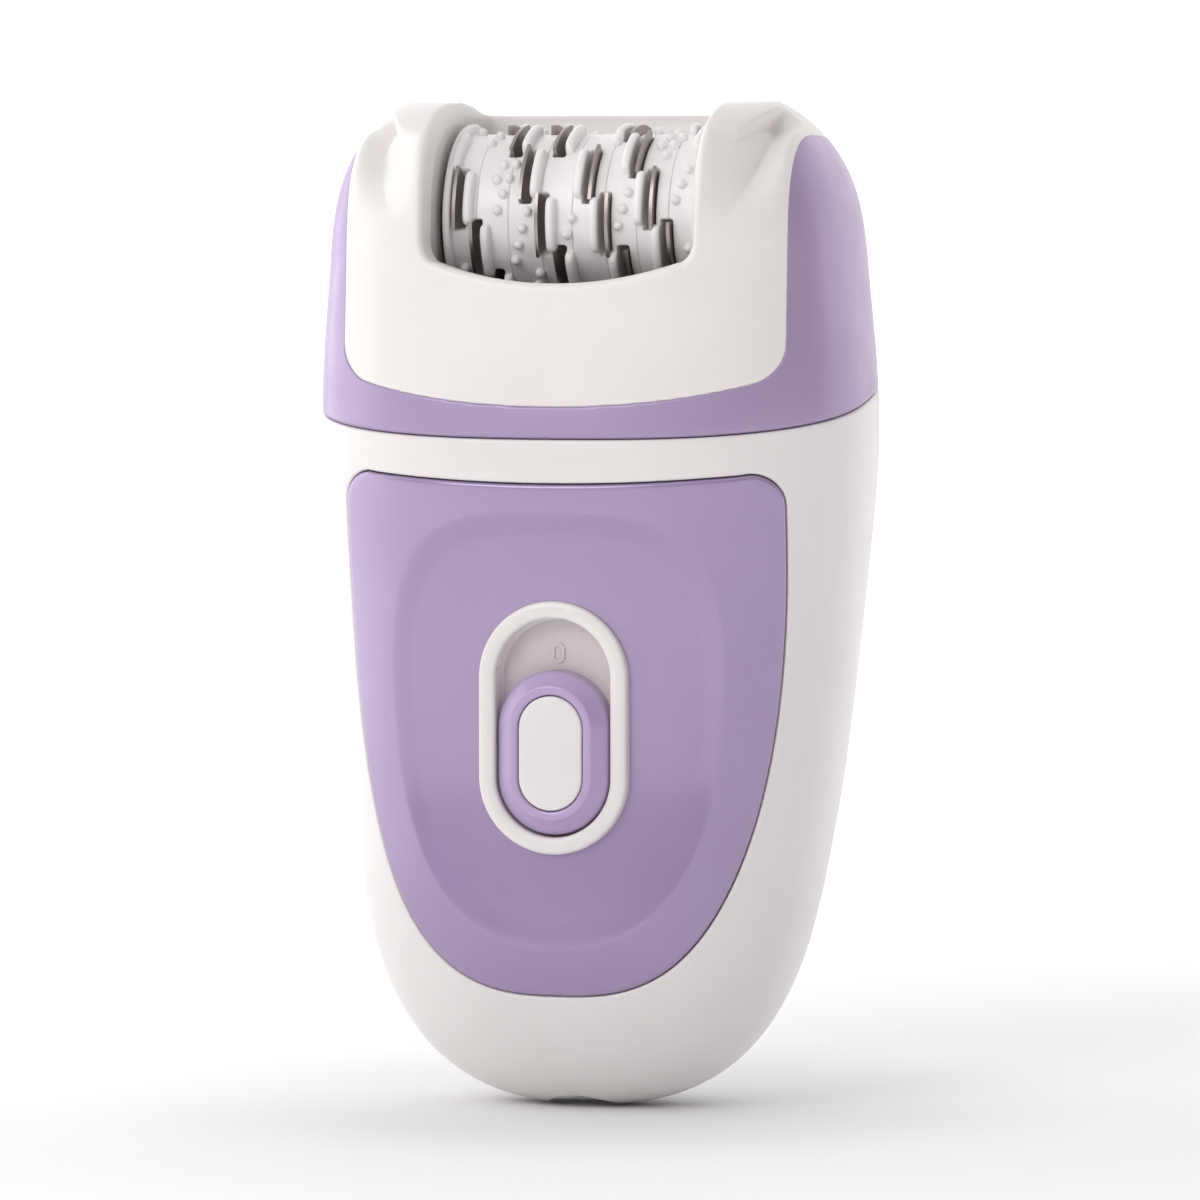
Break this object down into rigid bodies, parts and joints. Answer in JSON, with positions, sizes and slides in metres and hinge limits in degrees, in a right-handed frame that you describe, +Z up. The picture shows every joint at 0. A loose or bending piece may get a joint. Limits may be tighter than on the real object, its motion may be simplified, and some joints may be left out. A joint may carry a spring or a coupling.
{
  "type": "epilator",
  "caption": "Palm-sized epilator with a thumb slide switch, a geared tweezer drum in a lift-off head, and a removable guard cap.",
  "frame": {"origin": "centre of the bounding box at its lowest level, under the foot of the handle", "axes": "+Z up the handle, -Y out of the thumb side, +X toward the right of someone facing the thumb side; the drum turns about X"},
  "size_m": [0.066, 0.043, 0.1177],
  "materials": {
    "white_shell": "moulded ABS, soft gloss",
    "white_cap": "moulded ABS, soft gloss",
    "white_trim": "moulded ABS, satin",
    "white_tray": "moulded ABS, satin",
    "white_inlay": "moulded ABS, satin",
    "lilac_panel": "pearl lacquered ABS, glossy",
    "lilac_frame": "pearl ABS, satin",
    "lilac_knob": "pearl ABS, satin",
    "lilac_button": "pearl ABS, satin",
    "dark_nylon": "moulded nylon",
    "black_nylon": "moulded nylon",
    "inner_abs": "moulded ABS",
    "deck_abs": "moulded ABS",
    "board_green": "solder mask",
    "component_black": "moulded components",
    "screw_steel": "zinc plated",
    "tinned_steel": "tinned sheet",
    "contact_brass": "plated brass",
    "lead_pvc": "PVC sleeve",
    "motor_steel": "zinc plated can",
    "copper_core": "enamelled copper windings",
    "polished_steel": "ground steel",
    "spring_steel": "spring wire",
    "gear_brass": "machined brass",
    "gear_acetal": "acetal",
    "drum_white": "acetal, fine satin",
    "tweezer_steel": "blanked stainless sheet"
  },
  "bodies": {
    "handle": {"front_shell": "white_shell", "rear_shell": "white_shell", "front_panel": "lilac_panel", "switch_bezel": "white_trim", "switch_tray": "white_tray", "slide_switch_case": "tinned_steel", "circuit_board": "board_green", "board_parts": "component_black", "board_screws": "screw_steel", "board_standoffs": "inner_abs", "dc_socket": "black_nylon", "socket_contacts": "contact_brass", "motor_leads": "lead_pvc", "motor_can": "motor_steel", "motor_end_bell": "black_nylon", "motor_terminals": "contact_brass", "motor_screws": "screw_steel", "idler_axle": "polished_steel", "chassis": "inner_abs", "top_deck": "deck_abs", "case_screws": "screw_steel", "release_spring": "spring_steel"},
    "slider": {"slider_knob": "lilac_knob", "slider_inlay": "white_inlay", "slider_carrier": "dark_nylon"},
    "release": {"release_button": "lilac_button"},
    "rotor": {"motor_armature": "copper_core", "motor_shaft": "polished_steel", "motor_pinion": "gear_brass"},
    "idler": {"idler_gear": "gear_acetal"},
    "head": {"head_frame": "lilac_frame", "head_cradle": "inner_abs", "bearing_left": "inner_abs", "bearing_right": "inner_abs", "head_axle": "polished_steel", "roller_post_left": "polished_steel", "roller_post_right": "polished_steel", "head_screws": "screw_steel"},
    "guard_cap": {"head_cap": "white_cap"},
    "head_idler": {"head_gear": "gear_acetal"},
    "roller_left": {"press_roller_left": "gear_acetal"},
    "roller_right": {"press_roller_right": "gear_acetal"},
    "drum": {"drum_axle": "polished_steel", "drum_gear": "gear_acetal", "drum_hub_1": "drum_white", "drum_hub_2": "drum_white", "drum_hub_3": "drum_white", "drum_hub_4": "drum_white", "drum_hub_5": "drum_white", "drum_hub_6": "drum_white", "drum_hub_7": "drum_white", "drum_hub_8": "drum_white"},
    "tweezers_left": {"plates_left": "tweezer_steel", "sleeve_left": "polished_steel"},
    "tweezers_right": {"plates_right": "tweezer_steel", "sleeve_right": "polished_steel"}
  },
  "joints": [
    {"name": "switch_slide", "type": "slide", "parent": "handle", "child": "slider", "axis": [0, 0, 1], "range_m": [0, 0.0054]},
    {"name": "release_press", "type": "slide", "parent": "handle", "child": "release", "axis": [0, -1, 0], "range_m": [0, 0.0012], "stiffness_N_per_m": 900, "springref_m": -0.0006, "deforming": ["release_spring"]},
    {"name": "head_lift", "type": "slide", "parent": "handle", "child": "head", "axis": [0, 0, 1], "range_m": [0, 0.03]},
    {"name": "cap_lift", "type": "slide", "parent": "head", "child": "guard_cap", "axis": [0, 0, 1], "range_m": [0, 0.03]},
    {"name": "drum_spin", "type": "hinge", "parent": "head", "child": "drum", "pos_m": [0, -0.0015, 0.1042], "axis": [1, 0, 0], "continuous": true},
    {"name": "head_gear_spin", "type": "hinge", "parent": "head", "child": "head_idler", "pos_m": [0.0226, -0.0015, 0.089], "axis": [1, 0, 0], "continuous": true},
    {"name": "idler_spin", "type": "hinge", "parent": "handle", "child": "idler", "pos_m": [0.02, -0.0015, 0.0754], "axis": [1, 0, 0], "continuous": true},
    {"name": "motor_spin", "type": "hinge", "parent": "handle", "child": "rotor", "pos_m": [0, 0.003, 0.06005], "axis": [1, 0, 0], "continuous": true},
    {"name": "roller_left_spin", "type": "hinge", "parent": "head", "child": "roller_left", "pos_m": [-0.0193, -0.0015, 0.0968], "axis": [0, 0, 1], "continuous": true},
    {"name": "roller_right_spin", "type": "hinge", "parent": "head", "child": "roller_right", "pos_m": [0.0193, -0.0015, 0.0968], "axis": [0, 0, 1], "continuous": true},
    {"name": "pinch_left", "type": "slide", "parent": "drum", "child": "tweezers_left", "axis": [1, 0, 0], "range_m": [0, 0.00085], "stiffness_N_per_m": 300, "springref_m": -0.0003},
    {"name": "pinch_right", "type": "slide", "parent": "drum", "child": "tweezers_right", "axis": [-1, 0, 0], "range_m": [0, 0.00085], "stiffness_N_per_m": 300, "springref_m": -0.0003}
  ],
  "couplings": [
    {"joint": "head_gear_spin", "follows": "drum_spin", "ratio": -1.1111},
    {"joint": "idler_spin", "follows": "drum_spin", "ratio": 1.25},
    {"joint": "motor_spin", "follows": "drum_spin", "ratio": -3.75},
    {"joint": "roller_left_spin", "follows": "drum_spin", "ratio": 4.2286},
    {"joint": "roller_right_spin", "follows": "drum_spin", "ratio": -4.2286},
    {"joint": "pinch_right", "follows": "pinch_left", "ratio": 1}
  ]
}
